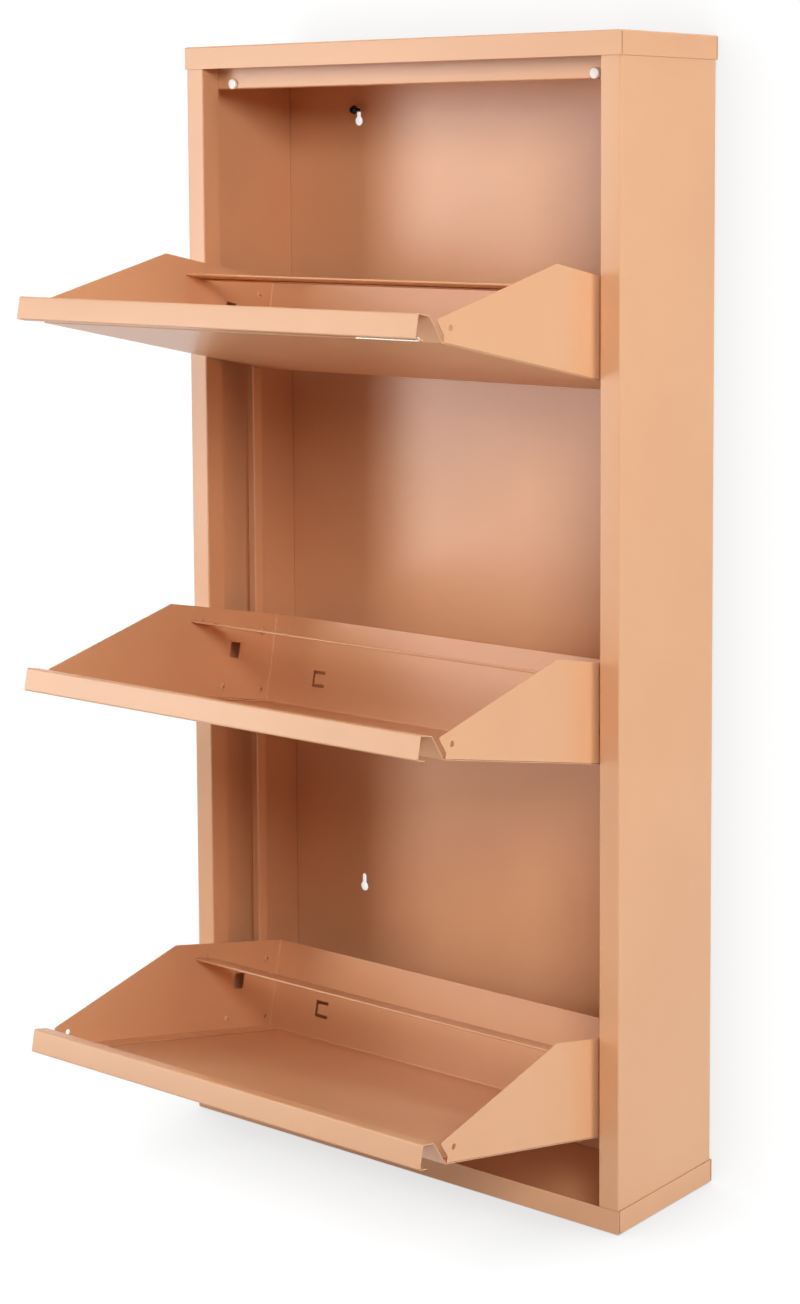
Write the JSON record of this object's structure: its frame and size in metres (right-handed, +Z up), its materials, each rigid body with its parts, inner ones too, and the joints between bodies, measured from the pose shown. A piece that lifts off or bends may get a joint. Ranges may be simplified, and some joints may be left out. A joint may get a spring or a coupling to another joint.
{
  "type": "tilt-out shoe cabinet",
  "caption": "Slim wall-side shoe cabinet in folded sheet steel; coupled tilt-out flaps with grip lips, cheeks and retaining bars hold shoes on edge in a shallow carcass.",
  "frame": {"origin": "centre of the carcass footprint, on the underside of the base pan", "axes": "+Z up, +Y from the front to the wall, +X to the right seen from the front; the flaps are stored open, as in the picture"},
  "size_m": [0.5, 0.392, 1.036],
  "materials": {
    "peach_powder_coat": "satin powder coat with a fine orange-peel texture",
    "white_nylon": "smooth moulded",
    "black_steel": "black oxide, satin",
    "spring_steel": "bright cold-rolled strip"
  },
  "bodies": {
    "carcass": {"back_panel": "peach_powder_coat", "base_pan": "peach_powder_coat", "bumper_left": "white_nylon", "bumper_right": "white_nylon", "hinge_rivet_bottom_left": "peach_powder_coat", "hinge_rivet_bottom_right": "peach_powder_coat", "hinge_rivet_middle_left": "peach_powder_coat", "hinge_rivet_middle_right": "peach_powder_coat", "hinge_rivet_top_left": "peach_powder_coat", "hinge_rivet_top_right": "peach_powder_coat", "side_panel_left": "peach_powder_coat", "side_panel_right": "peach_powder_coat", "top_cover": "peach_powder_coat", "top_rail": "peach_powder_coat", "wall_screw_left": "black_steel", "wall_screw_right": "black_steel"},
    "top_flap": {"link_rivet_top_left": "peach_powder_coat", "link_rivet_top_right": "peach_powder_coat", "top_flap_cheek_left": "peach_powder_coat", "top_flap_cheek_right": "peach_powder_coat", "top_flap_door": "peach_powder_coat", "top_flap_heel_plate": "peach_powder_coat", "top_flap_retaining_bar": "peach_powder_coat", "spring_catch": "spring_steel"},
    "middle_flap": {"link_rivet_middle_left": "peach_powder_coat", "link_rivet_middle_right": "peach_powder_coat", "middle_flap_cheek_left": "peach_powder_coat", "middle_flap_cheek_right": "peach_powder_coat", "middle_flap_door": "peach_powder_coat", "middle_flap_heel_plate": "peach_powder_coat", "middle_flap_retaining_bar": "peach_powder_coat"},
    "bottom_flap": {"bottom_flap_cheek_left": "peach_powder_coat", "bottom_flap_cheek_right": "peach_powder_coat", "bottom_flap_door": "peach_powder_coat", "bottom_flap_heel_plate": "peach_powder_coat", "bottom_flap_retaining_bar": "peach_powder_coat", "link_rivet_bottom_left": "peach_powder_coat", "link_rivet_bottom_right": "peach_powder_coat"},
    "link_left": {"link_bar_left": "peach_powder_coat"},
    "link_right": {"link_bar_right": "peach_powder_coat"}
  },
  "joints": [
    {"name": "top_flap_tilt", "type": "hinge", "parent": "carcass", "child": "top_flap", "pos_m": [0, -0.0619, 0.7524], "axis": [-1, 0, 0], "range_deg": [0, 78.3]},
    {"name": "middle_flap_tilt", "type": "hinge", "parent": "carcass", "child": "middle_flap", "pos_m": [0, -0.0619, 0.4217], "axis": [-1, 0, 0], "range_deg": [0, 78.3]},
    {"name": "bottom_flap_tilt", "type": "hinge", "parent": "carcass", "child": "bottom_flap", "pos_m": [0, -0.0619, 0.091], "axis": [-1, 0, 0], "range_deg": [0, 78.3]},
    {"name": "link_left_pivot", "type": "hinge", "parent": "top_flap", "child": "link_left", "pos_m": [-0.2265, -0.00334, 0.79848], "axis": [1, 0, 0], "range_deg": [0, 78.3]},
    {"name": "link_right_pivot", "type": "hinge", "parent": "top_flap", "child": "link_right", "pos_m": [0.2265, -0.00334, 0.79848], "axis": [1, 0, 0], "range_deg": [0, 78.3]}
  ],
  "couplings": [
    {"joint": "middle_flap_tilt", "follows": "top_flap_tilt", "ratio": 1},
    {"joint": "bottom_flap_tilt", "follows": "top_flap_tilt", "ratio": 1},
    {"joint": "link_left_pivot", "follows": "top_flap_tilt", "ratio": 1},
    {"joint": "link_right_pivot", "follows": "top_flap_tilt", "ratio": 1}
  ]
}
